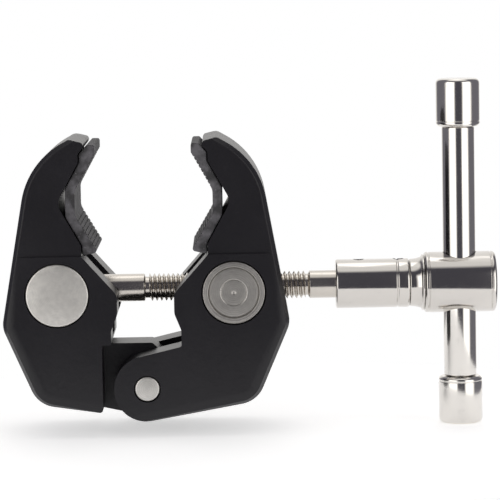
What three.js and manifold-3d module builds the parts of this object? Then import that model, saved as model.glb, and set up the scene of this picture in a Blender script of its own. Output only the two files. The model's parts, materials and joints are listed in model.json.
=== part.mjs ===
// A small crab-shaped super clamp: two hinged die-cast jaws with V-shaped grip
// pads, drawn together by a screw through two cross barrels and a sliding T-bar.
// Units are millimetres. X runs across the jaws towards the handle, Y from the
// front to the back, Z up. The shapes are drawn about the hinge axis, and the
// whole group is then set down with its origin at the bottom centre.
import * as THREE from 'three';
import { mergeVertices } from 'three/addons/utils/BufferGeometryUtils.js';
import Module from 'manifold-3d';

const wasm = await Module();
wasm.setup();

// ---- driving dimensions ----------------------------------------------------

// jaws
const jawDepth = 28;
const jawWidth = 30.4; // hinge axis to the back corner of one jaw
const jawHeight = 52.9; // hinge axis to the jaw tips
const trunnionSpan = 37.2; // between the two barrel axes
const trunnionRise = 20.1; // barrel axes above the hinge axis
const heelInset = 7.2; // heel corner inside the back corner
const heelDrop = 3.2; // heel corner below the hinge axis
const heelRadius = 6;
const backCornerRise = 13.4;
const shoulderInset = 6.1;
const shoulderDrop = 4.9; // shoulder corner below the tips
const shoulderRadius = 17;
const edgeBevelWidth = 2.8;
const edgeBevelDepth = 2;
const armStep = 0.5; // each side of the upper arm lies this far back
const armStepRise = 8.2; // above the barrel axes
const tipThickness = 5.4; // behind the pad's top corner
const tipSlant = 0.9; // the tip falls this far towards the mouth
const throatInset = 12.6; // the cheeks' inner edge, from the barrel axes
const throatHeight = 4.2;
const cheekFootInset = 11.2;
const cheekFootDrop = 7.7;
const cheekToeDrop = 1.9; // the left cheeks' inner corner, below the heel

// the slot between the two cheeks of a jaw
const slotWidth = 10.2;
const pocketBelow = 9.7; // floor and roof, from the barrel axes
const pocketAbove = 8.4;
const pocketRamp = 2.5;
const pocketRampRise = 4.1;
const tiltRoom = 0.8; // behind the screw's stop, for the tilting screw
const windowSideRoom = 0.6; // round the screw where it leaves the jaw
const windowTiltRoom = 2.4;

// hinge
const hingePinDiameter = 5.4;
const lobeRadius = 7;
const tongueTop = 8.7;
const tongueFootDrop = 1.4; // below the heel
const shelfStep = 0.7; // the left cheeks stand this far above the tongue
const earTop = 8.9;
const lobeClearance = 2.4; // from the ear lobe to the other jaw's cheeks
const tongueRoom = 2.8; // in the right jaw, round the tongue's end
const hingeSideGap = 0.3;

// grip pads
const gripTopGap = 20.2; // between the pads at their top corners
const gripVertexGap = 29; // between the pads at the flat bottom of the V
const gripFlat = 4.8; // height of that flat
const gripHeelGap = 19.6; // between the pads at their lower corners
const gripTopDrop = 3.1; // top corners below the tips
const gripHeelRise = 9; // lower corners above the barrel axes
const padThickness = 3.5; // on the flanks
const padWaist = 2; // behind the bottom of the V
const padRecess = 0.6; // pad edges inside the cheek faces
const padSlant = 1.2; // the pad's top falls this far below the tip
const seatTopDrop = 1.8; // ends of the seat, from the pad's corners
const seatHeelRise = 1.4;
const padEndDrop = 0.8;
const notchDepth = 1.8; // hollow behind the bottom of the V

// barrels, screw and its stop
const trunnionDiameter = 13.4;
const trunnionRecess = 0.15; // barrel ends inside the cheek faces
const trunnionFlat = 5.4; // spot faces from the barrel axis
const screwDiameter = 5.9;
const threadStart = 19.1; // from the left barrel axis
const threadLength = 33.5;
const reliefWidth = 1;
const reliefDepth = 0.4;
const journalDiameter = 4.6;
const shankLength = 15.8; // past the thread
const washerDiameter = 9;
const washerThickness = 0.7;
const clipDiameter = 6.8;
const clipThickness = 0.7;
const clipGrooveDepth = 0.5;
const screwTail = 0.7; // past the clip

// handle
const sleeveDiameter = 10.5;
const sleeveLength = 15.8;
const sleeveGap = 6.5; // bare shank between the thread and the sleeve
const collarLength = 3;
const hubDiameter = 13;
const hubLength = 15.3;
const spigotDiameter = 7.5;
const spigotLength = 9;
const rollPinDiameter = 2;
const rollPinInset = 5; // from the sleeve's end
const spigotPinInset = 3.5;
const barDiameter = 7;
const barLength = 74.2; // over both caps
const barOffset = 6.6; // bar centre above the screw axis at rest
const capDiameter = 9.4;
const capLength = 10.2;
const capStudDiameter = 4;
const capStudLength = 6;
const ballDiameter = 3.4;
const springWire = 0.5;
const springTurns = 4;

// camera-thread sockets in the back of the left jaw, drawn at their tap drill
const smallSocketDiameter = 5.2;
const smallSocketDepth = 6.5;
const smallSocketRise = 12.9; // above the barrel axes
const largeSocketDiameter = 8;
const largeSocketDepth = 6.2;
const largeSocketAlong = 8.4; // from the heel corner up the lower face

// fits
const faceGap = 0.1; // flat faces that rest on each other
const turningGap = 0.15; // radial, a pin or barrel in its bore
const threadGap = 0.2; // radial, screw thread in the right barrel
const rimProud = 0.03;
const smallChamfer = 0.4;
const largeChamfer = 0.9;
const fineSides = 36;
const coarseSides = 20;
const arcSteps = 3; // pairs of chords in each stretch of a rounded corner
const arcStretch = Math.PI / 4;

// ---- materials -------------------------------------------------------------

const blackPaint = new THREE.MeshStandardMaterial({ color: 0x2a292e, roughness: 0.45, metalness: 0.2 });
const blackRubber = new THREE.MeshStandardMaterial({ color: 0x1d1d20, roughness: 0.8, metalness: 0 });
const nickel = new THREE.MeshStandardMaterial({ color: 0xc9c7c0, roughness: 0.2, metalness: 1 });
const turnedSteel = new THREE.MeshStandardMaterial({ color: 0xb5b3ab, roughness: 0.4, metalness: 1 });
const springSteel = new THREE.MeshStandardMaterial({ color: 0x77777a, roughness: 0.35, metalness: 1 });

// ---- solids ----------------------------------------------------------------

function solidOf(geometry) {
  const bare = geometry.clone();
  bare.deleteAttribute('normal');
  bare.deleteAttribute('uv');
  const merged = mergeVertices(bare, 1e-4);
  const corners = [];
  for (let i = 0; i < merged.index.count; i += 3) {
    const face = [0, 1, 2].map((k) => merged.index.getX(i + k));
    if (new Set(face).size === 3) corners.push(...face);
  }
  const vertProperties = merged.attributes.position.array;
  return new wasm.Manifold(new wasm.Mesh({ numProp: 3, vertProperties, triVerts: new Uint32Array(corners) }));
}

function geometryOf(solid) {
  const { vertProperties, triVerts } = solid.getMesh();
  const geometry = new THREE.BufferGeometry();
  geometry.setAttribute('position', new THREE.BufferAttribute(vertProperties, 3));
  geometry.setIndex(new THREE.BufferAttribute(triVerts, 1));
  return geometry;
}

// A closed outline through [x, z, radius] corners, each corner rounded by an arc.
function outline(corners) {
  const shape = new THREE.Shape();
  const count = corners.length;
  corners.forEach(([x, z, radius = 0], i) => {
    const corner = new THREE.Vector2(x, z);
    const back = new THREE.Vector2(...corners[(i + count - 1) % count]).sub(corner);
    const ahead = new THREE.Vector2(...corners[(i + 1) % count]).sub(corner);
    const halfAngle = back.angleTo(ahead) / 2;
    const setback = Math.min(radius / Math.tan(halfAngle), back.length(), ahead.length());
    const turn = back.cross(ahead);
    const start = corner.clone().add(back.setLength(setback || 0));
    const end = corner.clone().add(ahead.setLength(setback || 0));
    if (i === 0) shape.moveTo(start.x, start.y);
    else if (shape.currentPoint.distanceTo(start) > 1e-3) shape.lineTo(start.x, start.y);
    if (radius === 0) return;
    const fit = setback * Math.tan(halfAngle);
    const middle = start.clone().add(end).multiplyScalar(0.5).sub(corner);
    const centre = corner.clone().add(middle.setLength(fit / Math.sin(halfAngle)));
    const from = start.sub(centre).angle();
    const clockwise = turn > 0;
    const sweep = (clockwise ? -1 : 1) * (Math.PI - 2 * halfAngle);
    const stretches = Math.ceil(Math.abs(sweep) / arcStretch);
    for (let part = 0; part < stretches; part += 1) {
      const first = from + sweep * part / stretches;
      const last = from + sweep * (part + 1) / stretches;
      shape.absarc(centre.x, centre.y, fit, first, last, clockwise);
    }
  });
  shape.closePath();
  return shape;
}

// The corner outside the hinge lobe where a tangent from a point meets the upright
// that touches the lobe's far side.
function lobeCorner([x, z], side) {
  const angle = Math.atan2(z, x) + side * Math.acos(lobeRadius / Math.hypot(x, z));
  const slope = (lobeRadius * Math.sin(angle) - z) / (lobeRadius * Math.cos(angle) - x);
  return [-lobeRadius, z - slope * (lobeRadius + x), lobeRadius];
}

// An XZ outline given depth along Y, centred on the middle plane.
function plate(shape, depth) {
  const geometry = new THREE.ExtrudeGeometry(shape, { depth, bevelEnabled: false, curveSegments: arcSteps });
  geometry.rotateX(Math.PI / 2);
  geometry.translate(0, depth / 2, 0);
  return solidOf(geometry);
}

// The same, with its rim rounded over towards the two faces. The middle of the rim
// stands a hair proud, so that only the rounding cuts what it is intersected with.
function roundedPlate(shape, depth, width, fall) {
  const geometry = new THREE.ExtrudeGeometry(shape, {
    depth: depth - 2 * fall,
    bevelThickness: fall,
    bevelSize: width,
    bevelOffset: rimProud - width,
    bevelSegments: 2,
    curveSegments: arcSteps,
  });
  geometry.rotateX(Math.PI / 2);
  geometry.translate(0, depth / 2 - fall, 0);
  return solidOf(geometry);
}

const alongX = new THREE.Quaternion().setFromUnitVectors(new THREE.Vector3(0, 1, 0), new THREE.Vector3(1, 0, 0));
const alongY = new THREE.Quaternion();
const alongZ = new THREE.Quaternion().setFromUnitVectors(new THREE.Vector3(0, 1, 0), new THREE.Vector3(0, 0, 1));

// A turned shape from [radius, position] pairs along its axis, lowest first.
function turned(profile, sides = fineSides) {
  const points = profile.map(([radius, position]) => new THREE.Vector2(radius, position));
  return new THREE.LatheGeometry(points, sides);
}

function rod(diameter, from, to, chamfer = 0, sides = fineSides) {
  const radius = diameter / 2;
  const profile = [[0, from], [radius - chamfer, from]];
  if (chamfer > 0) profile.push([radius, from + chamfer], [radius, to - chamfer]);
  profile.push([radius - chamfer, to], [0, to]);
  return turned(profile, sides);
}

function ring(inner, outer, from, to, sides = fineSides) {
  const section = [[inner / 2, from], [outer / 2, from], [outer / 2, to], [inner / 2, to], [inner / 2, from]];
  return turned(section, sides);
}

// A cutting or joining cylinder along one of the directions above.
function cylinder(diameter, from, to, direction, x = 0, z = 0, sides = fineSides) {
  const geometry = rod(diameter, from, to, 0, sides);
  geometry.applyQuaternion(direction);
  geometry.translate(x, 0, z);
  return solidOf(geometry);
}

function block(lowX, highX, lowY, highY, lowZ, highZ) {
  const geometry = new THREE.BoxGeometry(highX - lowX, highY - lowY, highZ - lowZ);
  geometry.translate((lowX + highX) / 2, (lowY + highY) / 2, (lowZ + highZ) / 2);
  return solidOf(geometry);
}

const model = new THREE.Group();

function addPart(parent, name, geometry, material, position = [0, 0, 0], direction = alongY) {
  const mesh = new THREE.Mesh(geometry, material);
  mesh.name = name;
  mesh.position.set(...position);
  mesh.quaternion.copy(direction);
  parent.add(mesh);
  return mesh;
}

// ---- jaws ------------------------------------------------------------------
// Both jaws share one outline, drawn with X outwards from the hinge axis. The
// left jaw is the same outline mirrored.

const halfSpan = trunnionSpan / 2;
const reach = jawDepth; // cutters run well past the casting
const heelX = jawWidth - heelInset;
const shoulderX = jawWidth - shoulderInset;
const shoulderZ = jawHeight - shoulderDrop;
const tipX = gripTopGap / 2 + tipThickness;
const gripTopZ = jawHeight - gripTopDrop;
const gripHeelZ = trunnionRise + gripHeelRise;
const vertexZ = (gripTopZ + gripHeelZ) / 2;
const seatTop = [gripTopGap / 2 + padThickness, gripTopZ - seatTopDrop];
const seatHeel = [gripHeelGap / 2 + padThickness, gripHeelZ + seatHeelRise];
const notch = [gripVertexGap / 2 + padWaist + notchDepth, vertexZ];
const padEnd = [seatHeel[0], gripHeelZ - padEndDrop];
const throatX = halfSpan - throatInset;
const cheekFootX = halfSpan - cheekFootInset;

const outerEdge = [
  [heelX, -heelDrop, heelRadius],
  [jawWidth, backCornerRise, 5],
  [shoulderX, shoulderZ, shoulderRadius],
];

const innerEdge = [
  [tipX, jawHeight, 1.6],
  [gripTopGap / 2 + padThickness / 2, jawHeight - tipSlant, 0.8],
  [seatTop[0], gripTopZ, 0.8],
  [...seatTop, 1],
  [...notch, 3],
  [...seatHeel, 1.2],
  [...padEnd, 0.5],
  [throatX, trunnionRise, 2.5],
  [throatX, trunnionRise - throatHeight, 3],
  [cheekFootX, trunnionRise - cheekFootDrop, 1.5],
];

const cheekEnd = lobeRadius + lobeClearance;
const earCorner = [cheekFootX, earTop, 0.5];
const lobeUnder = lobeCorner(outerEdge[0], -1);

const rightOutline = outline([
  ...outerEdge,
  ...innerEdge,
  earCorner,
  lobeCorner(earCorner, 1),
  lobeUnder,
]);

const leftOutline = outline([
  [cheekEnd, -heelDrop - cheekToeDrop, 0.8],
  ...outerEdge,
  ...innerEdge,
  [cheekFootX, tongueTop + shelfStep, 0.5],
  [cheekEnd, tongueTop + shelfStep, 0.3],
]);

// The rounded outer rim: it follows the back of the jaw and runs off elsewhere.
const runOff = jawWidth / 6;
const rimOutline = outline([
  [-jawWidth, lobeUnder[1] - runOff],
  ...outerEdge,
  [tipX, jawHeight],
  [-jawWidth, jawHeight + jawWidth],
]);

const stopReach = trunnionFlat + washerThickness + clipThickness + 2 * faceGap;
const pocketBack = halfSpan + Math.max(stopReach, trunnionDiameter / 2) + tiltRoom;
const pocketFloor = trunnionRise - pocketBelow;
const pocketRoof = trunnionRise + pocketAbove;

const pocketEdge = [
  [halfSpan - pocketRamp, pocketFloor, 1],
  [pocketBack, pocketFloor + pocketRampRise, 2],
  [pocketBack, pocketRoof - pocketRamp, 2],
  [halfSpan + pocketRamp, pocketRoof, 2],
  [-reach, pocketRoof],
];

const tongueSwing = lobeRadius + tongueRoom;
const rightPocket = outline([
  [-reach, -reach],
  [tongueSwing, -reach],
  [tongueSwing, pocketFloor, 1],
  ...pocketEdge,
]);
const leftPocket = outline([[-reach, pocketFloor], ...pocketEdge]);

const tongueRoot = cheekEnd + lobeClearance;
const tongueCorner = [-1, tongueTop, 1];
const tongueFoot = [tongueRoot, -heelDrop - tongueFootDrop];
const tongueOutline = outline([
  tongueFoot,
  [tongueRoot, tongueTop],
  tongueCorner,
  lobeCorner(tongueCorner, 1),
  lobeCorner(tongueFoot, -1),
]);

// A stadium-shaped opening in the back wall, where the tilting screw passes.
function screwWindow() {
  const radius = screwDiameter / 2 + windowSideRoom;
  const half = windowTiltRoom;
  const from = pocketBack - pocketRamp;
  const upper = cylinder(2 * radius, from, jawWidth + 1, alongX, 0, half, coarseSides);
  const lower = cylinder(2 * radius, from, jawWidth + 1, alongX, 0, -half, coarseSides);
  const middle = block(from, jawWidth + 1, -radius, radius, -half, half);
  return middle.add(upper).add(lower).translate([0, 0, trunnionRise]);
}

// The upper arm is a little thinner than the part round the barrels.
function armRelief(side) {
  const face = side * jawDepth / 2;
  const inner = face - side * armStep;
  const far = face + side;
  return block(-1, jawWidth + 1, Math.min(inner, far), Math.max(inner, far), trunnionRise + armStepRise, jawHeight + 2);
}

function jawBody(jawOutline, pocket) {
  return plate(jawOutline, jawDepth)
    .subtract(plate(pocket, slotWidth))
    .subtract(screwWindow())
    .subtract(armRelief(-1))
    .subtract(armRelief(1));
}

function withBores(body) {
  const barrelBore = trunnionDiameter + 2 * turningGap;
  const pinBore = hingePinDiameter + 2 * turningGap;
  return body
    .intersect(roundedPlate(rimOutline, jawDepth, edgeBevelWidth, edgeBevelDepth))
    .subtract(cylinder(barrelBore, -reach, reach, alongY, halfSpan, trunnionRise))
    .subtract(cylinder(pinBore, -reach, reach, alongY));
}

function rightJaw() {
  return withBores(jawBody(rightOutline, rightPocket));
}

// A blind hole square to the face that runs from one corner towards another.
function socket(diameter, depth, corner, next, along) {
  const direction = new THREE.Vector3(next[0] - corner[0], 0, next[1] - corner[1]).normalize();
  const outward = new THREE.Vector3(direction.z, 0, -direction.x);
  const geometry = rod(diameter, -depth, 3, 0, coarseSides);
  geometry.applyQuaternion(new THREE.Quaternion().setFromUnitVectors(new THREE.Vector3(0, 1, 0), outward));
  geometry.translate(corner[0] + direction.x * along, 0, corner[1] + direction.z * along);
  return solidOf(geometry);
}

function leftJaw() {
  const [heel, backCorner, shoulder] = outerEdge;
  const smallAlong = trunnionRise + smallSocketRise - backCornerRise;
  const tongueWidth = slotWidth - 2 * hingeSideGap;
  const tongue = plate(tongueOutline, tongueWidth);
  const body = jawBody(leftOutline, leftPocket).add(tongue);
  return withBores(body)
    .subtract(socket(smallSocketDiameter, smallSocketDepth, backCorner, shoulder, smallAlong))
    .subtract(socket(largeSocketDiameter, largeSocketDepth, heel, backCorner, largeSocketAlong));
}

addPart(model, 'left_jaw', geometryOf(leftJaw().mirror([1, 0, 0])), blackPaint);
addPart(model, 'right_jaw', geometryOf(rightJaw()), blackPaint);

// ---- grip pads -------------------------------------------------------------
// A pad lies on the two flanks of the jaw's seat and bridges the notch.

function alongFlank(from, to, x) {
  return from[1] + (to[1] - from[1]) * (x - from[0]) / (to[0] - from[0]);
}

function gripPad() {
  const backX = gripVertexGap / 2 + padWaist;
  const gap = faceGap * 1.5;
  const seatX = backX + gap;
  return plate(outline([
    [gripTopGap / 2, jawHeight - padSlant, 0.5],
    [gripTopGap / 2, gripTopZ, 0.6],
    [gripVertexGap / 2, vertexZ + gripFlat / 2, 2.5],
    [gripVertexGap / 2, vertexZ - gripFlat / 2, 2.5],
    [gripHeelGap / 2, gripHeelZ, 0.6],
    [padEnd[0] - gap, padEnd[1], 0.4],
    [seatHeel[0] - gap, seatHeel[1]],
    [backX, alongFlank(seatHeel, notch, seatX), 1],
    [backX, alongFlank(seatTop, notch, seatX), 1],
    [seatTop[0] - gap, seatTop[1]],
    [seatTop[0] - gap, gripTopZ],
    [gripTopGap / 2 + padThickness / 2 - gap, jawHeight - padSlant, 0.3],
  ]), jawDepth - 2 * (armStep + padRecess));
}

addPart(model, 'left_grip_pad', geometryOf(gripPad().mirror([1, 0, 0])), blackRubber);
addPart(model, 'right_grip_pad', geometryOf(gripPad()), blackRubber);

// ---- hinge pin -------------------------------------------------------------

const barrelHalf = jawDepth / 2 - trunnionRecess;
addPart(model, 'hinge_pin', rod(hingePinDiameter, -barrelHalf, barrelHalf, smallChamfer), turnedSteel);

// ---- barrels ---------------------------------------------------------------

const barrelRadius = trunnionDiameter / 2;

function spotFaces() {
  const depth = slotWidth / 2 - 0.3;
  const right = block(trunnionFlat, barrelRadius + 1, -depth, depth, -barrelRadius, barrelRadius);
  const left = block(-barrelRadius - 1, -trunnionFlat, -depth, depth, -barrelRadius, barrelRadius);
  return right.add(left);
}

function crossHole(diameter) {
  return cylinder(diameter, -trunnionDiameter, trunnionDiameter, alongX, 0, 0, coarseSides);
}

function leftTrunnion() {
  const barrel = solidOf(rod(trunnionDiameter, -barrelHalf, barrelHalf, smallChamfer));
  return barrel.subtract(spotFaces()).subtract(crossHole(journalDiameter + 2 * turningGap));
}

// The right barrel's ends are turned with a raised rim and a centre mark.
function rightTrunnion() {
  const rim = barrelRadius - 1.4;
  const dish = 0.35;
  const mark = 0.5;
  const profile = [
    [0, -barrelHalf + dish + mark],
    [mark, -barrelHalf + dish],
    [rim - 0.2, -barrelHalf + dish],
    [rim, -barrelHalf],
    [barrelRadius - smallChamfer, -barrelHalf],
    [barrelRadius, -barrelHalf + smallChamfer],
  ];
  const mirrored = profile.map(([radius, position]) => [radius, -position]).reverse();
  const barrel = solidOf(turned([...profile, ...mirrored]));
  return barrel.subtract(crossHole(screwDiameter + 2 * threadGap));
}

const leftBarrelCentre = [-halfSpan, 0, trunnionRise];
const rightBarrelCentre = [halfSpan, 0, trunnionRise];
addPart(model, 'left_trunnion', geometryOf(leftTrunnion()), turnedSteel, leftBarrelCentre);
addPart(model, 'right_trunnion', geometryOf(rightTrunnion()), turnedSteel, rightBarrelCentre);

// ---- screw and its stop ----------------------------------------------------
// Positions run along the screw from the left barrel's axis.

const screwGroup = new THREE.Group();
screwGroup.position.set(...leftBarrelCentre);
model.add(screwGroup);

const washerStart = -trunnionFlat - faceGap - washerThickness;
const clipStart = washerStart - faceGap - clipThickness;
const screwStart = clipStart - faceGap - screwTail;
const shoulder = trunnionFlat + faceGap;
const threadEnd = threadStart + threadLength;
const shankEnd = threadEnd + shankLength;
const firstPin = threadEnd + sleeveGap + rollPinInset;

// A small hole square to the turned axis, for a roll pin.
function pinBore(position) {
  const bore = cylinder(rollPinDiameter + 2 * turningGap, -sleeveDiameter, sleeveDiameter, alongZ, 0, 0, 16);
  return bore.translate([0, position, 0]);
}

function screw() {
  const journal = journalDiameter / 2;
  const full = screwDiameter / 2;
  const groove = journal - clipGrooveDepth;
  const body = solidOf(turned([
    [0, screwStart],
    [journal - smallChamfer / 2, screwStart],
    [journal, screwStart + smallChamfer / 2],
    [journal, clipStart - faceGap],
    [groove, clipStart - faceGap],
    [groove, clipStart + clipThickness + faceGap],
    [journal, clipStart + clipThickness + faceGap],
    [journal, shoulder],
    [full, shoulder],
    [full, threadStart - reliefWidth],
    [full - reliefDepth, threadStart - reliefWidth],
    [full - reliefDepth, threadStart],
    [full, threadStart],
    [full, shankEnd - smallChamfer],
    [full - smallChamfer, shankEnd],
    [0, shankEnd],
  ], 32));
  return body.subtract(pinBore(firstPin));
}

addPart(screwGroup, 'clamp_screw', geometryOf(screw()), nickel, [0, 0, 0], alongX);
const washerBore = journalDiameter + 2 * turningGap;
const washer = ring(washerBore, washerDiameter, washerStart, washerStart + washerThickness, 32);
addPart(screwGroup, 'screw_washer', washer, springSteel, [0, 0, 0], alongX);

function retainingClip() {
  const bore = journalDiameter - 2 * clipGrooveDepth + 2 * faceGap;
  const hoop = solidOf(ring(bore, clipDiameter, clipStart, clipStart + clipThickness, 32));
  const mouth = block(0, clipDiameter, clipStart - 1, clipStart + clipThickness + 1, -bore / 2.4, bore / 2.4);
  return hoop.subtract(mouth);
}

addPart(screwGroup, 'screw_retaining_clip', geometryOf(retainingClip()), springSteel, [0, 0, 0], alongX);

// ---- handle sleeve, collar and hub -----------------------------------------

const sleeveStart = threadEnd + sleeveGap;
const sleeveEnd = sleeveStart + sleeveLength;
const collarStart = sleeveEnd + faceGap;
const collarEnd = collarStart + collarLength;
const hubStart = collarEnd + faceGap;
const hubEnd = hubStart + hubLength;
const hubCentre = (hubStart + hubEnd) / 2;
const spigotStart = hubStart - spigotLength;
const spigotBore = spigotDiameter + 2 * turningGap;
const secondPin = spigotStart + spigotPinInset;

function sleeve() {
  const outer = sleeveDiameter / 2;
  const shankBore = screwDiameter / 2 + turningGap;
  const step = spigotStart - faceGap * 3;
  const body = solidOf(turned([
    [shankBore, sleeveStart],
    [outer - smallChamfer, sleeveStart],
    [outer, sleeveStart + smallChamfer],
    [outer, sleeveEnd - smallChamfer / 2],
    [outer - smallChamfer / 2, sleeveEnd],
    [spigotBore / 2, sleeveEnd],
    [spigotBore / 2, step],
    [shankBore, step],
    [shankBore, sleeveStart],
  ]));
  return body.subtract(pinBore(firstPin)).subtract(pinBore(secondPin));
}

addPart(screwGroup, 'handle_sleeve', geometryOf(sleeve()), nickel, [0, 0, 0], alongX);

function collar() {
  const outer = sleeveDiameter / 2;
  const flare = hubDiameter / 2 - 0.5;
  return turned([
    [spigotBore / 2, collarStart],
    [outer - smallChamfer / 2, collarStart],
    [outer, collarStart + smallChamfer / 2],
    [outer, collarStart + collarLength * 0.45],
    [outer + (flare - outer) * 0.3, collarStart + collarLength * 0.8],
    [flare, collarEnd],
    [spigotBore / 2, collarEnd],
    [spigotBore / 2, collarStart],
  ]);
}

addPart(screwGroup, 'handle_collar', collar(), nickel, [0, 0, 0], alongX);

function hub() {
  const outer = hubDiameter / 2;
  const spigot = spigotDiameter / 2;
  const body = solidOf(turned([
    [0, spigotStart],
    [spigot, spigotStart],
    [spigot, hubStart],
    [outer - smallChamfer, hubStart],
    [outer, hubStart + smallChamfer],
    [outer, hubEnd - largeChamfer],
    [outer - largeChamfer / 3, hubEnd - largeChamfer / 3],
    [outer - largeChamfer, hubEnd],
    [0, hubEnd],
  ]));
  const barBore = cylinder(barDiameter + 2 * turningGap, -hubDiameter, hubDiameter, alongZ).translate([0, hubCentre, 0]);
  const ballBore = cylinder(ballDiameter + 2 * turningGap, spigotStart - 1, hubCentre, alongY, 0, 0, coarseSides);
  return body.subtract(barBore).subtract(ballBore).subtract(pinBore(secondPin));
}

addPart(screwGroup, 'handle_hub', geometryOf(hub()), nickel, [0, 0, 0], alongX);

function addRollPin(name, position) {
  const half = sleeveDiameter / 2 - 0.3;
  const pin = solidOf(rod(rollPinDiameter, -half, half, 0.2, 16));
  const split = block(0, rollPinDiameter, -sleeveDiameter, sleeveDiameter, -0.15, 0.15);
  const hollow = cylinder(rollPinDiameter / 2, -sleeveDiameter, sleeveDiameter, alongY, 0, 0, 12);
  const shape = geometryOf(pin.subtract(hollow).subtract(split));
  addPart(screwGroup, name, shape, springSteel, [position, 0, 0], alongZ);
}

addRollPin('sleeve_roll_pin', firstPin);
addRollPin('hub_roll_pin', secondPin);

// ---- spring-loaded ball that holds the T-bar -------------------------------

const ballCentre = hubCentre - barDiameter / 2 - faceGap - ballDiameter / 2;
const springStart = secondPin + rollPinDiameter / 2 + faceGap * 2;
const springEnd = ballCentre - ballDiameter / 2 - faceGap;

const ball = new THREE.SphereGeometry(ballDiameter / 2, 16, 10);
addPart(screwGroup, 'bar_detent_ball', ball, springSteel, [ballCentre, 0, 0]);

class Coil extends THREE.Curve {
  getPoint(t, target = new THREE.Vector3()) {
    const radius = ballDiameter / 2 - springWire / 2 - 0.1;
    const angle = t * springTurns * 2 * Math.PI;
    const travel = springEnd - springStart - springWire;
    const position = springStart + springWire / 2 + t * travel;
    return target.set(position, radius * Math.cos(angle), radius * Math.sin(angle));
  }
}

function spring() {
  const section = new THREE.Shape();
  section.absarc(0, 0, springWire / 2, 0, 2 * Math.PI);
  return new THREE.ExtrudeGeometry(section, {
    steps: springTurns * 10,
    curveSegments: 3,
    bevelEnabled: false,
    extrudePath: new Coil(),
  });
}

addPart(screwGroup, 'bar_detent_spring', spring(), springSteel);

// ---- T-bar and its caps ----------------------------------------------------

const barGroup = new THREE.Group();
barGroup.position.set(hubCentre, 0, barOffset);
screwGroup.add(barGroup);

const barHalf = barLength / 2 - capLength - faceGap;
const studEnd = barHalf + capStudLength;

const teeBar = turned([
  [0, -studEnd],
  [capStudDiameter / 2 - 0.3, -studEnd],
  [capStudDiameter / 2, -studEnd + 0.3],
  [capStudDiameter / 2, -barHalf],
  [barDiameter / 2 - 0.3, -barHalf],
  [barDiameter / 2, -barHalf + 0.3],
  [barDiameter / 2, barHalf - 0.3],
  [barDiameter / 2 - 0.3, barHalf],
  [capStudDiameter / 2, barHalf],
  [capStudDiameter / 2, studEnd - 0.3],
  [capStudDiameter / 2 - 0.3, studEnd],
  [0, studEnd],
]);
addPart(barGroup, 'tee_bar', teeBar, nickel, [0, 0, 0], alongZ);

// A cap with a blind hole for the bar's stud, drawn with its open end first.
function cap() {
  const outer = capDiameter / 2;
  const bore = capStudDiameter / 2 + turningGap;
  const hole = capStudLength + 0.5;
  return turned([
    [0, hole],
    [bore, hole],
    [bore, 0],
    [outer - smallChamfer, 0],
    [outer, smallChamfer],
    [outer, capLength - largeChamfer],
    [outer - largeChamfer / 3, capLength - largeChamfer / 3],
    [outer - largeChamfer, capLength],
    [0, capLength],
  ]);
}

const capSeat = barHalf + faceGap;
const downwards = new THREE.Quaternion().setFromUnitVectors(new THREE.Vector3(0, 1, 0), new THREE.Vector3(0, 0, -1));
addPart(barGroup, 'upper_bar_cap', cap(), nickel, [0, 0, capSeat], alongZ);
addPart(barGroup, 'lower_bar_cap', cap(), nickel, [0, 0, -capSeat], downwards);

// ---- set the clamp down with its origin at the bottom centre ---------------

const bounds = new THREE.Box3().setFromObject(model);
const centre = bounds.getCenter(new THREE.Vector3());
model.position.set(-centre.x, -centre.y, -bounds.min.z);

export default model;
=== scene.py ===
# %% [markdown]
# # A super clamp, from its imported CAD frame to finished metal, paint and rubber
#
# The clamp is two hinged die castings with V-shaped rubber grips. A long screw runs through two
# cross barrels and draws the jaws together. A sliding T-bar turns the screw.
#
# The CAD model already holds every size and every joint. This script keeps those and gives each
# piece the shape detail and the finish of the real thing. Lengths are in millimetres until the
# last step of each piece, when `MM` turns them into metres.

# %% Load the frame
import json
import math

import bmesh
import bpy
from mathutils import Matrix, Vector


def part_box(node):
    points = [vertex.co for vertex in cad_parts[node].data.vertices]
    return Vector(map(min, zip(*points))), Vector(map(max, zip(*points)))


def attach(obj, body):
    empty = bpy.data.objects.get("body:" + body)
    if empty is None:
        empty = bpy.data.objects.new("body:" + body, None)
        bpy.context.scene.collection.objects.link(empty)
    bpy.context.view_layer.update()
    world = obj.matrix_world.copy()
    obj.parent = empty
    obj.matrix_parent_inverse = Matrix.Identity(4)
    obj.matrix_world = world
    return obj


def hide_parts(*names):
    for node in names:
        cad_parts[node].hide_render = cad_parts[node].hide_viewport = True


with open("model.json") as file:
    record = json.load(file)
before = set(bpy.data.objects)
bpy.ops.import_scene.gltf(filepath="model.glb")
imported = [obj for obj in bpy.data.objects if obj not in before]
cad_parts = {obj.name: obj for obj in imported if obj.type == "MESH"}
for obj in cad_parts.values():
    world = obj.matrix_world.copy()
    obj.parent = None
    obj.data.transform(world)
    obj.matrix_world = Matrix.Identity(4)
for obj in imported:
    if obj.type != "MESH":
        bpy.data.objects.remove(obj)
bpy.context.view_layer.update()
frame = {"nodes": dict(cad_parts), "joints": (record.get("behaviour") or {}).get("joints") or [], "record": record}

MM = 0.001

# %% [markdown]
# ## Where things are
#
# The joints say where the axes run, and a CAD node's box says where a piece starts and ends. Most
# places below come from these two. The sizes that a box can't show, such as a bore or the start of
# the thread, are written out where they are used.

# %% Axes and boxes in millimetres
joints = {joint["name"]: joint for joint in frame["joints"]}


def axis_point(joint):
    return Vector(joints[joint]["pos_m"]) / MM


def box(node):
    low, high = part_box(node)
    return low / MM, high / MM


hinge = axis_point("jaw_open")
left_axis = axis_point("left_trunnion_turn")
right_axis = axis_point("right_trunnion_turn")
jaw_half = box("left_jaw")[1].y
print("hinge", tuple(hinge), "barrels", tuple(left_axis), tuple(right_axis), "half depth", round(jaw_half, 2))

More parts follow.
